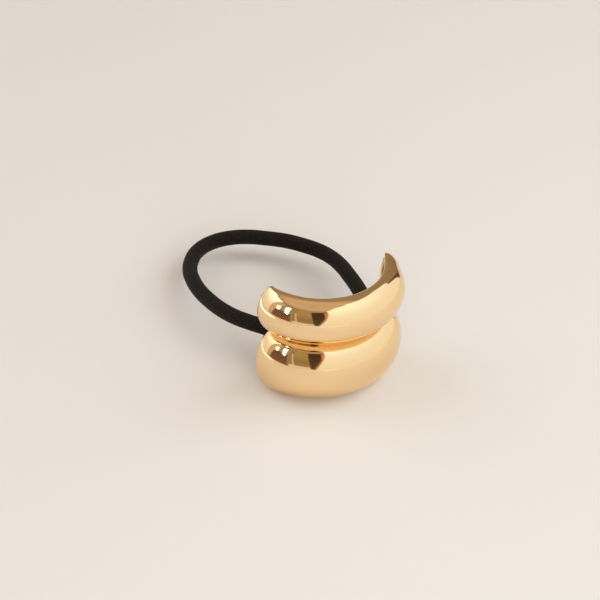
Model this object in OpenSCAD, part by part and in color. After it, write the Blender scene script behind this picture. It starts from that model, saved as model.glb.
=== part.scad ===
// Hair tie: a double-domed metal cuff with a round elastic loop.
// The cuff is one C-shaped casting of two puffed ribs with scooped backs. It stands on its lower edge.
// A flat strap is soldered across the lower scoop, and the elastic loop runs behind the strap.
// X is the width of the cuff, -Y its domed front, +Y the open side, and Z = 0 the table.

/* [Cuff] */
// Radius of the concave side that lies on the ponytail
inner_r = 18; // [14:0.5:24]
// Height of the lower rib
lower_h = 17.4; // [14:0.2:22]
// Height of the upper rib
upper_h = 13.4; // [10:0.2:18]
// How far the lower rib stands out from the concave side
lower_t = 7.3; // [6.5:0.1:9]
// How far the upper rib stands out from the concave side
upper_t = 6.7; // [5:0.1:8]
// Angle from the middle of the lower rib to its end
lower_reach = 75; // [60:0.5:85]
// Angle from the middle of the upper rib to its end
upper_reach = 77.5; // [60:0.5:85]
// Length of the rounding at the corners of each end
corner = 2.7; // [1:0.1:4]
// Bluntness of the ends: 2 is a long round nose, 8 is nearly square
bluntness = 4.5; // [3:0.5:8]
// Fullness of the ends: 0.5 draws them in as an ellipse does, and less keeps them high up to their tips
end_power = 0.35; // [0.25:0.05:0.6]

/* [Groove and back] */
// Metal left under the groove between the ribs
groove_t = 1.4; // [1.3:0.1:2]
// Width of the groove's floor
groove_w = 0.5; // [0.2:0.1:1.5]
// Width of the flat that the cuff stands on
foot_w = 1.2; // [0.6:0.1:1.2]
// Thickness of the cast wall round the scooped backs
wall = 1.4; // [1:0.1:1.6]

/* [Strap] */
// Width of the strap that holds the elastic
strap_w = 5; // [3:0.5:6]
// Thickness of the strap
strap_t = 1.6; // [1:0.1:2]
// How far the strap is let into the edges of the scoop
strap_seat = 0.3; // [0.2:0.1:0.4]

/* [Elastic] */
// Diameter of the round elastic
elastic_d = 4.2; // [3:0.1:4.4]

/* [Hidden] */

// The elastic's centreline, one closed loop: behind the strap, round the left side, back by the right
elastic_route = [
    [0, -21.2, 10.9], [-5, -19.9, 10.9], [-8.7, -15.9, 11], [-10.1, -9.8, 11.1],
    [-11.1, -4, 11], [-12.9, 1.2, 10.8], [-15.7, 5.9, 10.4], [-18, 10.7, 9.9],
    [-19.4, 15.9, 9.4], [-19.9, 21.3, 8.8], [-19.9, 26.8, 8.3], [-19, 32.4, 7.8],
    [-17.2, 37.8, 7.2], [-14.1, 42.7, 6.8], [-10, 46.6, 6.4], [-4.7, 48.8, 6.2],
    [1, 48.8, 6.2], [6.1, 46.9, 6.4], [10.7, 43.7, 6.6], [14.8, 39.8, 7],
    [18.1, 35.2, 7.4], [20.5, 30.3, 7.9], [21.7, 25, 8.4], [21.6, 19.6, 9],
    [20.8, 14.2, 9.5], [19.8, 8.9, 10], [18.4, 3.7, 10.5], [16.5, -1.3, 10.9],
    [14.2, -6.2, 11], [11.8, -10.9, 11.1], [9, -15.7, 11], [5, -19.9, 10.9]
];

// Each end's corners, and the wall, as angles seen from the middle of the cuff
corner_angle = corner / inner_r * 180 / PI;
wall_angle = wall / inner_r * 180 / PI;

// Heights of the ribs' middles, and of the groove
lower_mid = lower_h / 2;
lower_top_turn = 180 - asin((groove_t - foot_w) / (lower_t - foot_w));
groove_z = lower_mid - lower_h / 2 * cos(lower_top_turn);
upper_low_turn = asin(groove_t / upper_t);
upper_mid = groove_z + groove_w + upper_h / 2 * cos(upper_low_turn);

// Mesh of the cuff: steps from end to end, and steps over each rib
stations = 44;
rib_steps = 12;
elastic_sides = 10;

// Share of the full height that the casting keeps at its very ends, so that no edge is a knife
end_edge = 0.06;

// A point of a cross-section is [how far it stands out, height, angle from the middle to the end]
function rib_point(turn, mid, half_h, out, reach, ledge = 0) = [
    ledge + (out - ledge) * sin(turn),
    mid - half_h * cos(turn),
    reach - corner_angle * (1 - sin(turn))
];

// Outer cross-section, from the foot up over both ribs
outer_section = concat(
    [[0, 0, lower_reach - corner_angle]],
    [for (k = [0 : rib_steps])
        rib_point(lower_top_turn * k / rib_steps, lower_mid, lower_h / 2, lower_t, lower_reach, foot_w)],
    [for (k = [0 : rib_steps + 1])
        rib_point(upper_low_turn + (180 - upper_low_turn) * k / (rib_steps + 1),
            upper_mid, upper_h / 2, upper_t, upper_reach)]
);

// Scooped backs, the same ribs one wall smaller all round
back_section = concat(
    [for (k = [0 : rib_steps + 1])
        rib_point(180 * k / (rib_steps + 1), lower_mid, lower_h / 2 - wall, lower_t - wall,
            lower_reach - wall_angle)],
    [for (k = [0 : rib_steps + 1])
        rib_point(180 * k / (rib_steps + 1), upper_mid, upper_h / 2 - wall, upper_t - wall,
            upper_reach - wall_angle)]
);

// Stations run from -1 at the left end to 1 at the right end, and are closest at the ends
function station(i) = let (u = 2 * i / stations - 1) sign(u) * (1 - pow(1 - abs(u), 1.7));
function end_height(s) = max(end_edge, pow(1 - pow(abs(s), bluntness), end_power));

// One layer of the cuff: its section set out at each station along the arc
function layer(section) = [
    for (i = [0 : stations], p = section)
        let (s = station(i), angle = s * p[2], r = inner_r + p[0] * end_height(s))
            [r * sin(angle), -r * cos(angle), p[1]]
];

// Two triangles for each cell of a layer
function cells(first, cols, flip) = [
    for (i = [0 : stations - 1], j = [0 : cols - 2], half = [0, 1])
        let (a = first + i * cols + j, b = a + 1, c = a + cols, d = c + 1,
            face = half == 0 ? [a, b, c] : [b, d, c])
            flip ? [face[2], face[1], face[0]] : face
];

// Index of each point round the border of a layer
function border(first, cols) = concat(
    [for (i = [0 : stations - 1]) first + i * cols],
    [for (j = [0 : cols - 2]) first + stations * cols + j],
    [for (i = [stations : -1 : 1]) first + i * cols + cols - 1],
    [for (j = [cols - 1 : -1 : 1]) first + j]
);

// The rim joins the borders of the outer layer and the scooped layer
function rim(a, b) = [
    for (k = [0 : len(a) - 1], half = [0, 1])
        let (n = (k + 1) % len(a)) half == 0 ? [a[k], a[n], b[n]] : [a[k], b[n], b[k]]
];

module casting() {
    cols = len(outer_section);
    second = (stations + 1) * cols;
    polyhedron(
        points = concat(layer(outer_section), layer(back_section)),
        faces = concat(
            cells(0, cols, false),
            cells(second, cols, true),
            rim(border(0, cols), border(second, cols))
        )
    );
}

// Flat strap with round ends, upright across the mouth of the lower scoop
module strap() {
    low = wall / 2;
    high = lower_h - wall / 2;
    back_y = -inner_r - strap_seat;
    translate([0, back_y + strap_t, 0]) rotate([90, 0, 0]) linear_extrude(strap_t) union() {
        translate([-strap_w / 2, low + strap_w / 2]) square([strap_w, high - low - strap_w]);
        translate([0, low + strap_w / 2]) circle(d = strap_w, $fn = 48);
        translate([0, high - strap_w / 2]) circle(d = strap_w, $fn = 48);
    }
}

module cuff() {
    color("#E3B877") union() {
        casting();
        strap();
    }
}

// Rings square to the route, swept into one closed tube
function unit(v) = v / norm(v);
function ring(k) =
    let (n = len(elastic_route),
        p = elastic_route[k],
        along = unit(elastic_route[(k + 1) % n] - elastic_route[(k + n - 1) % n]),
        side = unit(cross(along, [0, 0, 1])),
        up = cross(side, along))
    [for (j = [0 : elastic_sides - 1])
        let (turn = 360 * j / elastic_sides)
            p + elastic_d / 2 * (cos(turn) * side + sin(turn) * up)];

module elastic() {
    n = len(elastic_route);
    m = elastic_sides;
    color("#17130F") polyhedron(
        points = [for (k = [0 : n - 1], p = ring(k)) p],
        faces = [
            for (k = [0 : n - 1], j = [0 : m - 1], half = [0, 1])
                let (a = k * m + j, b = k * m + (j + 1) % m,
                    c = (k + 1) % n * m + j, d = (k + 1) % n * m + (j + 1) % m)
                    half == 0 ? [a, b, c] : [b, d, c]
        ]
    );
}

cuff();
elastic();
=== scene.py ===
import math

import bmesh
import bpy
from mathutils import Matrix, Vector


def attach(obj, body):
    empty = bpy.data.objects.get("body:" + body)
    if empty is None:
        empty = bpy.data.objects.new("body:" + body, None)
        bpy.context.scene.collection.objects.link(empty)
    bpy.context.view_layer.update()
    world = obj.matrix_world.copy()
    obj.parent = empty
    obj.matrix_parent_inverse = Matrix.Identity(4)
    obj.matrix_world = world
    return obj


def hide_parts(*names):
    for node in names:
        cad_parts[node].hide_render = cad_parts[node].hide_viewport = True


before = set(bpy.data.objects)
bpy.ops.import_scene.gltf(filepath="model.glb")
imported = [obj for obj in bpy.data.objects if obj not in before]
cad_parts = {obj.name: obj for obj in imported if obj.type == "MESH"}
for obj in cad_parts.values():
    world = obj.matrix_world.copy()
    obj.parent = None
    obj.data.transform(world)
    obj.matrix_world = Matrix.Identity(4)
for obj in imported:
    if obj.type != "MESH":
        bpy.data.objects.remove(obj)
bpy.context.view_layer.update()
scene = bpy.context.scene
bpy.ops.object.select_all(action="DESELECT")

# Camera
# The photograph looks down on the domed front from its left, through a long lens. The camera is rolled
# a little anticlockwise.
camera_azimuth = math.radians(-32.8)
camera_elevation = math.radians(36.2)
camera_roll = math.radians(4.8)
camera_distance = 0.517
camera_lens = 113.2
camera_near_clip = 0.01
camera_aim = Vector((0.0016, 0.0088, 0.0106))


def towards(azimuth, elevation):
    """Unit vector out from the hair tie. Azimuth 0 is out of its domed front, and 90 to the right of it."""
    flat = math.cos(elevation)
    return Vector((math.sin(azimuth) * flat, -math.cos(azimuth) * flat, math.sin(elevation)))


camera_back = towards(camera_azimuth, camera_elevation)
bpy.ops.object.camera_add(location=camera_aim + camera_back * camera_distance)
camera = bpy.context.object
camera.name = "camera"
camera.rotation_euler = camera_back.to_track_quat("Z", "Y").to_euler()
camera.rotation_euler.rotate_axis("Z", camera_roll)
camera.data.lens = camera_lens
camera.data.clip_start = camera_near_clip
scene.camera = camera

# Elastic loop
# One length of round hair elastic, 4.2 mm thick: a rubber core in a braided black polyester sheath.
# It runs behind the strap, leaves the cuff on both sides and stands out behind it in a free loop.
elastic_thickness = 0.0042
route_steps = 16
braid_course = 0.0011
braid_columns = 48
braid_rows = 4
braid_relief = 0.00009
elastic_route = [
    (0, -0.0212, 0.0109), (-0.005, -0.0199, 0.0109), (-0.0087, -0.0159, 0.011),
    (-0.0101, -0.0098, 0.0111), (-0.0111, -0.004, 0.011), (-0.0129, 0.0012, 0.0108),
    (-0.0157, 0.0059, 0.0104), (-0.018, 0.0107, 0.0099), (-0.0194, 0.0159, 0.0094),
    (-0.0199, 0.0213, 0.0088), (-0.0199, 0.0268, 0.0083), (-0.019, 0.0324, 0.0078),
    (-0.0172, 0.0378, 0.0072), (-0.0141, 0.0427, 0.0068), (-0.01, 0.0466, 0.0064),
    (-0.0047, 0.0488, 0.0062), (0.001, 0.0488, 0.0062), (0.0061, 0.0469, 0.0064),
    (0.0107, 0.0437, 0.0066), (0.0148, 0.0398, 0.007), (0.0181, 0.0352, 0.0074),
    (0.0205, 0.0303, 0.0079), (0.0217, 0.025, 0.0084), (0.0216, 0.0196, 0.009),
    (0.0208, 0.0142, 0.0095), (0.0198, 0.0089, 0.01), (0.0184, 0.0037, 0.0105),
    (0.0165, -0.0013, 0.0109), (0.0142, -0.0062, 0.011), (0.0118, -0.0109, 0.0111),
    (0.009, -0.0157, 0.011), (0.005, -0.0199, 0.0109),
]


def pick(mesh_data, wanted):
    """Selects the vertices of the mesh in edit mode that pass the test, and the edges between them."""
    mesh = bmesh.from_edit_mesh(mesh_data)
    for vertex in mesh.verts:
        vertex.select = wanted(vertex)
    mesh.select_flush_mode()
    mesh.select_flush(True)
    bmesh.update_edit_mesh(mesh_data)


def lay_route(name, points):
    """A smooth closed curve through the points of the route."""
    curve = bpy.data.curves.new(name, "CURVE")
    curve.dimensions = "3D"
    curve.twist_mode = "Z_UP"
    curve.resolution_u = route_steps
    spline = curve.splines.new("BEZIER")
    spline.bezier_points.add(len(points) - 1)
    for bend, place in zip(spline.bezier_points, points):
        bend.co = place
        bend.handle_left_type = bend.handle_right_type = "AUTO"
    spline.use_cyclic_u = True
    route = bpy.data.objects.new(name, curve)
    scene.collection.objects.link(route)
    return route


route = lay_route("elastic_route", elastic_route)
bpy.context.view_layer.update()
courses = round(route.data.splines[0].calc_length() / braid_course)
course = route.data.splines[0].calc_length() / courses
course_weld = course / 50
joint_weld = course / 20

# One course of the braid, with every other crossing raised, is repeated round the whole loop
bpy.ops.mesh.primitive_cylinder_add(
    vertices=braid_columns, radius=(elastic_thickness - braid_relief) / 2, depth=course,
    end_fill_type="NOTHING", location=(course / 2, 0, 0), rotation=(0, math.pi / 2, 0))
elastic = bpy.context.object
elastic.name = "elastic_loop"
bpy.ops.object.transform_apply(location=True, rotation=True, scale=True)
bpy.ops.object.mode_set(mode="EDIT")
mesh = bmesh.from_edit_mesh(elastic.data)
for edge in mesh.edges:
    edge.select = abs(edge.verts[0].co.x - edge.verts[1].co.x) > course / 2
bmesh.update_edit_mesh(elastic.data)
bpy.ops.mesh.subdivide(number_cuts=braid_rows - 1)
bpy.ops.mesh.select_mode(type="VERT")


def on_crossing(vertex):
    """Whether one yarn crosses over another here, as on the squares of one colour of a chessboard."""
    row = round(vertex.co.x / course * braid_rows)
    column = round(math.atan2(vertex.co.z, vertex.co.y) / (2 * math.pi) * braid_columns)
    return (row + column) % 2 == 0


pick(elastic.data, on_crossing)
bpy.ops.transform.shrink_fatten(value=braid_relief)
bpy.ops.object.mode_set(mode="OBJECT")

array = elastic.modifiers.new("courses", "ARRAY")
array.count = courses
array.use_relative_offset = False
array.use_constant_offset = True
array.constant_offset_displace = (course, 0, 0)
array.use_merge_vertices = True
array.merge_threshold = course_weld
bend = elastic.modifiers.new("route", "CURVE")
bend.object = route
bpy.ops.object.modifier_apply(modifier="courses")
bpy.ops.object.modifier_apply(modifier="route")
bpy.ops.object.mode_set(mode="EDIT")
bpy.ops.mesh.select_all(action="SELECT")
bpy.ops.mesh.remove_doubles(threshold=joint_weld)
bpy.ops.mesh.normals_make_consistent(inside=False)
bpy.ops.object.mode_set(mode="OBJECT")
bpy.ops.object.shade_smooth()

line = route.to_mesh()
elastic_line = [vertex.co.copy() for vertex in line.vertices]
route.to_mesh_clear()
elastic_line.append(elastic_line[0])
bpy.data.objects.remove(route)


def linear(hexadecimal):
    """An sRGB hex colour as linear RGBA."""
    channels = [int(hexadecimal[i:i + 2], 16) / 255 for i in (1, 3, 5)]
    return [c / 12.92 if c <= 0.04045 else ((c + 0.055) / 1.055) ** 2.4 for c in channels] + [1.0]


def add_node(material, kind, settings=(), links=()):
    """Adds a node, sets its properties and sockets, and links its inputs to other nodes' outputs."""
    node = material.node_tree.nodes.new(kind)
    for name, value in dict(settings).items():
        if name in node.inputs:
            node.inputs[name].default_value = value
        else:
            setattr(node, name, value)
    for socket, (source, output) in dict(links).items():
        material.node_tree.links.new(source.outputs[output], node.inputs[socket])
    return node


# Braided polyester over rubber: matt, nearly black with a brown tone, mottled at random in tufts. The
# lighter brown tufts are a painted sheen, standing in for filaments that catch the light.
# Single filaments are too fine to show, so the fuzz is drawn in tufts of about 0.45 mm.
sheath_dark = "#0E0B08"
sheath_sheen = "#2B2219"
tufts_per_metre = 2200.0
tuft_height = 0.0001
dark_up_to = 0.35
light_from = 0.75
sheath = bpy.data.materials.new("braided_black_polyester")
sheath.use_nodes = True
sheath.node_tree.nodes.clear()
place = add_node(sheath, "ShaderNodeTexCoord")
fuzz = add_node(
    sheath, "ShaderNodeTexNoise", {"Scale": tufts_per_metre, "Detail": 3.0}, {"Vector": (place, "Object")})
# The ramp mixes dark tufts with lighter brown ones, which are painted sheen of the fuzz
tone = add_node(sheath, "ShaderNodeValToRGB", links={"Fac": (fuzz, "Fac")})
tone.color_ramp.elements[0].position = dark_up_to
tone.color_ramp.elements[0].color = linear(sheath_dark)
tone.color_ramp.elements[1].position = light_from
tone.color_ramp.elements[1].color = linear(sheath_sheen)
nap = add_node(
    sheath, "ShaderNodeBump", {"Strength": 0.5, "Distance": tuft_height}, {"Height": (fuzz, "Fac")})
surface = add_node(
    sheath, "ShaderNodeBsdfPrincipled",
    {"Roughness": 0.85, "Specular IOR Level": 0.15, "Sheen Weight": 0.06, "Sheen Roughness": 0.5},
    {"Base Color": (tone, "Color"), "Normal": (nap, "Normal")})
add_node(sheath, "ShaderNodeOutputMaterial", links={"Surface": (surface, "BSDF")})
elastic.data.materials.append(sheath)

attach(elastic, "root")
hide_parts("elastic")

# Cuff
# One zinc casting of two puffed ribs with scooped backs, polished and plated in pale gold.
# It is modelled flat, X along the arc and -Y outwards, and then bent round the ponytail.
inner_radius = 0.018
lower_half = 0.0087
lower_out = 0.0073
lower_reach = math.radians(75)
upper_half = 0.0067
upper_out = 0.0067
upper_reach = math.radians(77.5)
groove_metal = 0.0014
groove_width = 0.0005
foot = 0.0012
wall = 0.0014
rim_radius = 0.00012
stations = 28
station_crowding = 1.5
rib_steps = 14
tolerance = 1e-6

# The middle of a rib reaches further than its edges by the length of a corner. A bluntness of 2 gives a long
# round nose and 8 a nearly square end, a small power keeps it full, and the edge is what is left at its tip.
corner = 0.0027
bluntness = 4.5
end_power = 0.35
end_edge = 0.06

lower_last_turn = math.pi - math.asin((groove_metal - foot) / (lower_out - foot))
groove_height = lower_half - lower_half * math.cos(lower_last_turn)
upper_first_turn = math.asin(groove_metal / upper_out)
upper_mid = groove_height + groove_width + upper_half * math.cos(upper_first_turn)


def half_rib(name, reach, mid, half, out, turns, ledge=0.0):
    """Half a rib's skin, from the middle of the cuff to its right end. A point is turned and spun into the
    rib's section, which is drawn out in steps that sink and fan round towards the end."""
    bpy.ops.mesh.primitive_plane_add(size=inner_radius, location=(0, 0, 0))
    rib = bpy.context.object
    rib.name = name
    bpy.ops.object.mode_set(mode="EDIT")
    bpy.ops.mesh.select_all(action="SELECT")
    bpy.ops.mesh.merge(type="CENTER")
    first, last = turns
    bpy.ops.transform.translate(value=(0, -math.sin(first), -math.cos(first)))
    bpy.ops.mesh.spin(steps=rib_steps, angle=last - first, center=(0, 0, 0), axis=(1, 0, 0))
    bpy.ops.mesh.select_all(action="SELECT")
    bpy.ops.transform.resize(value=(1, out - ledge, half), center_override=(0, 0, 0))
    bpy.ops.transform.translate(value=(0, -ledge, mid))
    length = reach * inner_radius - corner
    was_at, was_high, was_turned, was_wide = 0.0, 1.0, 0.0, out - ledge
    for step in range(1, stations + 1):
        at = 1 - (1 - step / stations) ** station_crowding
        high = max(end_edge, (1 - at ** bluntness) ** end_power)
        turned = math.atan2(at * corner, (out - ledge) * high)
        wide = math.hypot(at * corner, (out - ledge) * high)
        pivot = (at * length, -ledge * high, mid)
        bpy.ops.mesh.extrude_region_move()
        bpy.ops.transform.translate(value=((at - was_at) * length, ledge * (was_high - high), 0))
        bpy.ops.transform.rotate(value=-(turned - was_turned), orient_axis="Z", center_override=pivot)
        bpy.ops.transform.resize(value=(wide / was_wide, wide / was_wide, 1), center_override=pivot)
        was_at, was_high, was_turned, was_wide = at, high, turned, wide
    bpy.ops.object.mode_set(mode="OBJECT")
    return rib


# Polished on a wheel before it is plated: a clear mirror, with slow swells that buffing leaves about
# 9 mm apart
polished_gold = "#F8D9A8"
swells_per_metre = 110.0
swell_height = 0.0003
plating = bpy.data.materials.new("pale_gold_plating_polished")
plating.use_nodes = True
plating.node_tree.nodes.clear()
place = add_node(plating, "ShaderNodeTexCoord")
swell = add_node(
    plating, "ShaderNodeTexNoise", {"Scale": swells_per_metre, "Detail": 1.0}, {"Vector": (place, "Object")})
buffing = add_node(
    plating, "ShaderNodeBump", {"Strength": 0.15, "Distance": swell_height}, {"Height": (swell, "Fac")})
surface = add_node(
    plating, "ShaderNodeBsdfPrincipled",
    {"Base Color": linear(polished_gold), "Metallic": 1.0, "Roughness": 0.07},
    {"Normal": (buffing, "Normal")})
add_node(plating, "ShaderNodeOutputMaterial", links={"Surface": (surface, "BSDF")})

# The scooped backs are plated as cast: the same gold, but satin and a little darker, with a casting grain
# of about 0.4 mm
as_cast_gold = "#E9C592"
grains_per_metre = 2500.0
grain_height = 0.00005
as_cast = bpy.data.materials.new("pale_gold_plating_as_cast")
as_cast.use_nodes = True
as_cast.node_tree.nodes.clear()
place = add_node(as_cast, "ShaderNodeTexCoord")
grain = add_node(
    as_cast, "ShaderNodeTexNoise", {"Scale": grains_per_metre, "Detail": 2.0}, {"Vector": (place, "Object")})
pitting = add_node(
    as_cast, "ShaderNodeBump", {"Strength": 0.3, "Distance": grain_height}, {"Height": (grain, "Fac")})
surface = add_node(
    as_cast, "ShaderNodeBsdfPrincipled",
    {"Base Color": linear(as_cast_gold), "Metallic": 1.0, "Roughness": 0.32},
    {"Normal": (pitting, "Normal")})
add_node(as_cast, "ShaderNodeOutputMaterial", links={"Surface": (surface, "BSDF")})

lower_skin = half_rib(
    "lower_skin", lower_reach, lower_half, lower_half, lower_out, (0, lower_last_turn), foot)
upper_skin = half_rib(
    "upper_skin", upper_reach, upper_mid, upper_half, upper_out, (upper_first_turn, math.pi))
lower_scoop = half_rib(
    "lower_scoop", lower_reach - wall / inner_radius, lower_half, lower_half - wall, lower_out - wall,
    (0, math.pi))
upper_scoop = half_rib(
    "upper_scoop", upper_reach - wall / inner_radius, upper_mid, upper_half - wall, upper_out - wall,
    (0, math.pi))
for part in (lower_skin, upper_skin, lower_scoop, upper_scoop):
    part.data.materials.append(plating)
    part.data.materials.append(as_cast)
for part in (lower_scoop, upper_scoop):
    for face in part.data.polygons:
        face.material_index = 1

cuff = lower_skin
cuff.name = "cuff_casting"
bpy.ops.object.select_all(action="DESELECT")
for part in (lower_skin, upper_skin, lower_scoop, upper_scoop):
    part.select_set(True)
bpy.context.view_layer.objects.active = cuff
bpy.ops.object.join()
bpy.ops.object.mode_set(mode="EDIT")
bpy.ops.mesh.select_mode(type="VERT")

# The flat foot runs in from the lower rib's bottom edge, and closes to a point at the cuff's end
corner_start = lower_reach * inner_radius - corner
pick(cuff.data, lambda vertex: vertex.co.z < tolerance)
bpy.ops.mesh.extrude_region_move()
bpy.ops.transform.resize(value=(1, 0, 1), center_override=(0, 0, 0))
pick(cuff.data, lambda vertex: vertex.co.z < tolerance and vertex.co.x > corner_start - tolerance)
bpy.ops.mesh.merge(type="CENTER")


def bridge_heights(low, high):
    """Closes the strip between the two open edges that run along the cuff at these heights."""
    pick(cuff.data, lambda vertex: min(abs(vertex.co.z - low), abs(vertex.co.z - high)) < tolerance)
    bpy.ops.mesh.bridge_edge_loops()


bridge_heights(groove_height, groove_height + groove_width)
bridge_heights(2 * lower_half - wall, upper_mid - upper_half + wall)

# The rim joins the outer skin to the scooped backs, and its two edges are marked for rounding
mesh = bmesh.from_edit_mesh(cuff.data)
for edge in mesh.edges:
    edge.select = edge.is_boundary and max(vertex.co.x for vertex in edge.verts) > tolerance
bmesh.update_edit_mesh(cuff.data)
bpy.ops.mesh.select_mode(type="EDGE")
bpy.ops.mesh.mark_seam()
bpy.ops.mesh.bridge_edge_loops()
bpy.ops.object.mode_set(mode="OBJECT")

mirror = cuff.modifiers.new("left_half", "MIRROR")
mirror.merge_threshold = tolerance
bpy.ops.object.modifier_apply(modifier="left_half")
bpy.ops.object.mode_set(mode="EDIT")
bpy.ops.mesh.select_all(action="SELECT")
bpy.ops.mesh.normals_make_consistent(inside=False)

# The right tip of the upper rib has a full, rounded shoulder. Only the polished skin is pushed out,
# because the scoop and the top edge are hidden meanwhile.
shoulder_band = (0.6, 0.94)
shoulder_push = (0.0008, -0.0007, 0.0)
shoulder_blend = 0.003
bpy.ops.mesh.select_all(action="DESELECT")
cuff.active_material_index = 1
bpy.ops.object.material_slot_select()
bpy.ops.mesh.hide(unselected=False)
pick(cuff.data, lambda vertex: vertex.co.z > upper_mid + upper_half - tolerance)
bpy.ops.mesh.hide(unselected=False)
tip_start = upper_reach * inner_radius - corner
shoulder_low, shoulder_high = (upper_mid + share * upper_half for share in shoulder_band)
pick(cuff.data, lambda vertex: vertex.co.x > tip_start and shoulder_low < vertex.co.z < shoulder_high)
bpy.ops.transform.translate(
    value=shoulder_push, use_proportional_edit=True, proportional_edit_falloff="SMOOTH",
    proportional_size=shoulder_blend, use_proportional_connected=True)
bpy.ops.mesh.reveal(select=False)

# Both edges of the rim are rounded
mesh = bmesh.from_edit_mesh(cuff.data)
for edge in mesh.edges:
    edge.select = edge.seam
for face in mesh.faces:
    face.select = False
bmesh.update_edit_mesh(cuff.data)
bpy.ops.mesh.bevel(offset=rim_radius, segments=2, affect="EDGES", clamp_overlap=False)
bpy.ops.object.mode_set(mode="OBJECT")

# The casting is smoothed, and then bent so that its scooped side lies on the inner radius
rounding = cuff.modifiers.new("rounding", "SUBSURF")
rounding.levels = rounding.render_levels = 2
bpy.ops.object.modifier_apply(modifier="rounding")
bow = cuff.modifiers.new("bow", "SIMPLE_DEFORM")
bow.deform_method = "BEND"
bow.deform_axis = "Z"
reaches = [vertex.co.x for vertex in cuff.data.vertices]
bow.angle = (max(reaches) - min(reaches)) / inner_radius
bpy.ops.object.modifier_apply(modifier="bow")
cuff.location.y = -inner_radius
bpy.ops.object.transform_apply(location=True)

# The strap is a flat bar with round ends, soldered upright across the mouth of the lower scoop
strap_width = 0.005
strap_thickness = 0.0016
strap_seat = 0.0003
strap_edge_radius = 0.0004
strap_sides = 32
sharp_angle = math.radians(60)
smooth_angle = math.radians(35)
strap_low = wall / 2
strap_high = 2 * lower_half - wall / 2
bpy.ops.object.select_all(action="DESELECT")
bpy.ops.mesh.primitive_circle_add(
    vertices=strap_sides, radius=strap_width / 2, fill_type="NGON",
    rotation=(math.pi / 2, math.pi / strap_sides, 0),
    location=(0, -inner_radius - strap_seat, strap_low + strap_width / 2))
strap = bpy.context.object
strap.name = "strap"
bpy.ops.object.transform_apply(location=True, rotation=True)
bpy.ops.object.mode_set(mode="EDIT")
bpy.ops.mesh.select_mode(type="VERT")
pick(strap.data, lambda vertex: vertex.co.z > strap_low + strap_width / 2)
bpy.ops.transform.translate(value=(0, 0, strap_high - strap_low - strap_width))
bpy.ops.mesh.select_all(action="SELECT")
bpy.ops.mesh.extrude_region_move(TRANSFORM_OT_translate={"value": (0, strap_thickness, 0)})
bpy.ops.mesh.select_all(action="SELECT")
bpy.ops.mesh.normals_make_consistent(inside=False)
bpy.ops.mesh.select_all(action="DESELECT")
bpy.ops.mesh.edges_select_sharp(sharpness=sharp_angle)
bpy.ops.mesh.bevel(offset=strap_edge_radius, segments=4, affect="EDGES")
bpy.ops.object.mode_set(mode="OBJECT")
strap.data.materials.append(plating)

bpy.ops.object.select_all(action="DESELECT")
cuff.select_set(True)
bpy.context.view_layer.objects.active = cuff
solder = cuff.modifiers.new("solder", "BOOLEAN")
solder.operation = "UNION"
solder.object = strap
bpy.ops.object.modifier_apply(modifier="solder")
bpy.data.objects.remove(strap)
bpy.ops.object.shade_smooth_by_angle(angle=smooth_angle)

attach(cuff, "root")
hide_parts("cuff")

# Table
# A plain painted table top, off-white and warm, with no grain to see at this distance.
table_width = 4
table_white = "#EFEDEA"
bpy.ops.mesh.primitive_plane_add(size=table_width)
table = bpy.context.object
table.name = "table"
paint = bpy.data.materials.new("off_white_table_paint")
paint.use_nodes = True
paint.node_tree.nodes.clear()
surface = add_node(
    paint, "ShaderNodeBsdfPrincipled",
    {"Base Color": linear(table_white), "Roughness": 0.55, "Specular IOR Level": 0.3})
add_node(paint, "ShaderNodeOutputMaterial", links={"Surface": (surface, "BSDF")})
table.data.materials.append(paint)

# Light
# A warm, half-dark studio, which shows in the gold. A wide white card stands in front and on the right, a
# cream one at the back on the left, and two bright windows are high on the left.
room_colour = (0.34, 0.265, 0.175, 1.0)
world = bpy.data.worlds.new("warm_studio")
scene.world = world
world.use_nodes = True
world.node_tree.nodes["Background"].inputs["Color"].default_value = room_colour
world.node_tree.nodes["Background"].inputs["Strength"].default_value = 1.0
scene.view_settings.view_transform = "Standard"

# A card's colours go with the sine of the elevation, from a little below the table's level to overhead
ramp_low, ramp_high = -0.1, 1.0


def glow(name, strength, stops):
    """Light given off by a card. Its colour changes with the height in the room through the stops, each an
    elevation in degrees and a linear colour."""
    material = bpy.data.materials.new(name)
    material.use_nodes = True
    material.node_tree.nodes.clear()
    place = add_node(material, "ShaderNodeTexCoord")
    aim = add_node(
        material, "ShaderNodeVectorMath", {"operation": "NORMALIZE"}, {"Vector": (place, "Object")})
    height = add_node(material, "ShaderNodeSeparateXYZ", links={"Vector": (aim, "Vector")})
    level = add_node(
        material, "ShaderNodeMapRange", {"From Min": ramp_low, "From Max": ramp_high},
        {"Value": (height, "Z")})
    tone = add_node(material, "ShaderNodeValToRGB", links={"Fac": (level, "Result")})
    while len(tone.color_ramp.elements) < len(stops):
        tone.color_ramp.elements.new(1.0)
    for element, (elevation, colour) in zip(tone.color_ramp.elements, stops):
        element.position = (math.sin(math.radians(elevation)) - ramp_low) / (ramp_high - ramp_low)
        element.color = (*colour, 1.0)
    light = add_node(material, "ShaderNodeEmission", {"Strength": strength}, {"Color": (tone, "Color")})
    add_node(material, "ShaderNodeOutputMaterial", links={"Surface": (light, "Emission")})
    return material


card_columns = 20
card_rows = 10


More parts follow.
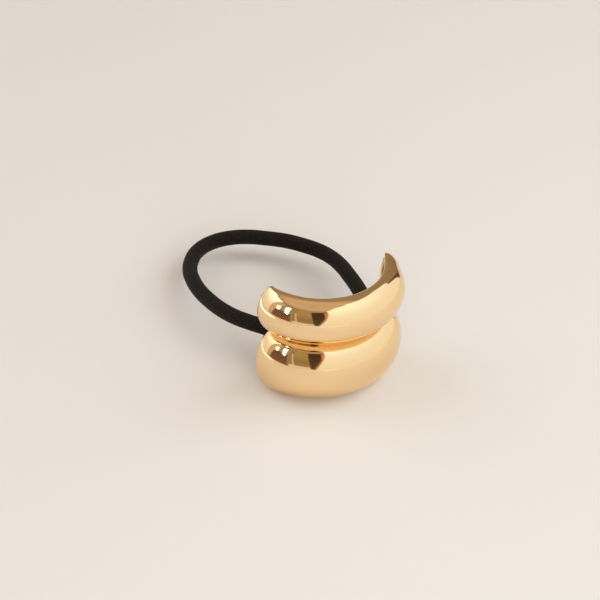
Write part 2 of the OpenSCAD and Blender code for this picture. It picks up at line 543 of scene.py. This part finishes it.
def card(name, corners, distance, light):
    """A card that curves round the hair tie. Its corners are azimuths and elevations in degrees, as seen
    from the hair tie: low start, low end, high start, high end."""
    bpy.ops.mesh.primitive_grid_add(x_subdivisions=card_columns, y_subdivisions=card_rows, size=2)
    sheet = bpy.context.object
    sheet.name = name
    low_start, low_end, high_start, high_end = corners
    for vertex in sheet.data.vertices:
        along, up = (vertex.co.x + 1) / 2, (vertex.co.y + 1) / 2
        azimuth, elevation = (
            (a * (1 - along) + b * along) * (1 - up) + (c * (1 - along) + d * along) * up
            for a, b, c, d in zip(low_start, low_end, high_start, high_end))
        vertex.co = towards(math.radians(azimuth), math.radians(elevation)) * distance
    sheet.data.materials.append(light)
    return sheet


white = glow("white_card", 1.5, [
    (0, (0.65, 0.61, 0.55)), (22, (0.66, 0.65, 0.62)), (38, (0.68, 0.69, 0.69)), (50, (0.76, 0.77, 0.78)),
    (66, (0.88, 0.88, 0.88))])
cream = glow("cream_card", 2.0, [
    (0, (0.46, 0.41, 0.37)), (20, (0.47, 0.43, 0.40)), (34, (0.55, 0.54, 0.54)), (48, (0.75, 0.75, 0.77)),
    (60, (0.95, 0.95, 0.98))])
tan = glow("tan_wall", 1.0, [(0, (0.60, 0.45, 0.30)), (60, (0.68, 0.50, 0.34))])
daylight = glow("window_light", 10.0, [(0, (1.0, 1.0, 1.0))])
bark = glow("dark_brown_wood", 1.0, [(0, (0.20, 0.12, 0.08)), (30, (0.16, 0.09, 0.06))])
soot = glow("black_cloth", 1.0, [(0, (0.10, 0.07, 0.04)), (50, (0.07, 0.04, 0.025))])
amber = glow("amber_trim", 1.0, [
    (10, (0.45, 0.16, 0.08)), (35, (0.75, 0.25, 0.10)), (55, (0.60, 0.30, 0.14))])
pale_trim = glow("pale_trim", 1.0, [(0, (0.66, 0.52, 0.34)), (34, (0.72, 0.58, 0.40))])
board = glow("pale_board", 1.0, [(0, (0.80, 0.71, 0.64))])
tan_dark = glow("tan_wall_right", 1.0, [(0, (0.24, 0.18, 0.12)), (30, (0.30, 0.23, 0.16))])
plaster = glow("ceiling_plaster", 1.0, [
    (62, (0.42, 0.32, 0.22)), (72, (0.66, 0.50, 0.35)), (85, (0.60, 0.47, 0.36))])
olive = glow("olive_cloth", 1.0, [
    (0, (0.44, 0.34, 0.19)), (20, (0.30, 0.22, 0.11)), (45, (0.42, 0.32, 0.14))])

# The white card, in three lengths. Its left edge leans to the right, and its top slopes down on the right.
card("white_card_left", [(-25, -3), (30, -3), (-3, 66), (30, 73)], 1.5, white)
card("white_card_middle", [(30, -3), (80, -3), (30, 73), (80, 70)], 1.5, white)
card("white_card_right", [(80, -3), (112, -3), (80, 70), (112, 50)], 1.5, white)

# What shows beyond the white card's two ends
card("black_cloth_left", [(-30, 2), (-26, 2), (-36, 58), (-8, 60)], 1.7, soot)
card("amber_trim", [(-19, 13), (-15, 13), (-13, 57), (-6, 57)], 1.6, amber)
card("olive_cloth", [(-60, 7), (-30, 7), (-58, 60), (-34, 60)], 1.8, olive)
card("pale_board", [(-60, -3), (-25, -3), (-60, 7), (-28, 7)], 1.8, board)
card("pale_trim", [(-55, 7), (-52, 7), (-61, 44), (-59, 44)], 1.6, pale_trim)
card("black_cloth_right", [(106, -3), (112, -3), (101, 36), (104, 37)], 1.4, soot)
card("tan_wall_right", [(112, -3), (132, -3), (104, 37), (132, 56)], 1.45, tan_dark)

# The left side: windows over dark wood, with a tan wall and the cream card beside them. The windows show
# in the gold and don't light the table.
card("dark_wood", [(-98, -2), (-62, -2), (-94, 30), (-66, 32)], 1.7, bark)
near = card("window_near", [(-74, 29), (-70, 27), (-82, 51), (-75, 55)], 1.5, daylight)
far = card("window_far", [(-92, 30), (-88, 31), (-96, 42), (-91, 44)], 1.5, daylight)
near.visible_diffuse = far.visible_diffuse = False
card("tan_wall", [(-108, -3), (-92, -3), (-108, 58), (-90, 58)], 1.8, tan)
card("cream_card", [(-178, -3), (-106, -3), (-160, 62), (-108, 62)], 1.6, cream)

# The ceiling, all round overhead
card("ceiling", [(-180, 63), (180, 63), (-180, 89), (180, 89)], 2.0, plaster)

light_distance = 0.7


def soft_light(name, azimuth, elevation, size, energy):
    """A large soft light that the gold doesn't mirror."""
    way = towards(math.radians(azimuth), math.radians(elevation))
    bpy.ops.object.light_add(
        type="AREA", location=way * light_distance, rotation=way.to_track_quat("Z", "Y").to_euler())
    light = bpy.context.object
    light.name = name
    light.data.size = size
    light.data.energy = energy
    light.visible_glossy = False


# The key throws the soft shadow on the left of the cuff, the low fill lights the table under its front, and
# a weak light overhead softens both
soft_light("key_light", 70, 46, 0.5, 0.8)
soft_light("fill_light", -20, 20, 0.5, 1.85)
soft_light("top_light", 90, 85, 0.6, 0.3)

# A narrow bounce card lies face up on the table on the left, outside the picture
bounce_place = (-0.115, 0.055, 0.003)
bounce_turn = math.radians(-38)
bounce_width = 0.05
bounce_length = 0.15
bounce_radiance = 2.2
bpy.ops.object.light_add(type="AREA", location=bounce_place, rotation=(math.pi, 0, bounce_turn))
bounce = bpy.context.object
bounce.name = "bounce_card"
bounce.data.shape = "RECTANGLE"
bounce.data.size = bounce_width
bounce.data.size_y = bounce_length
bounce.data.energy = bounce_radiance * math.pi * bounce_width * bounce_length
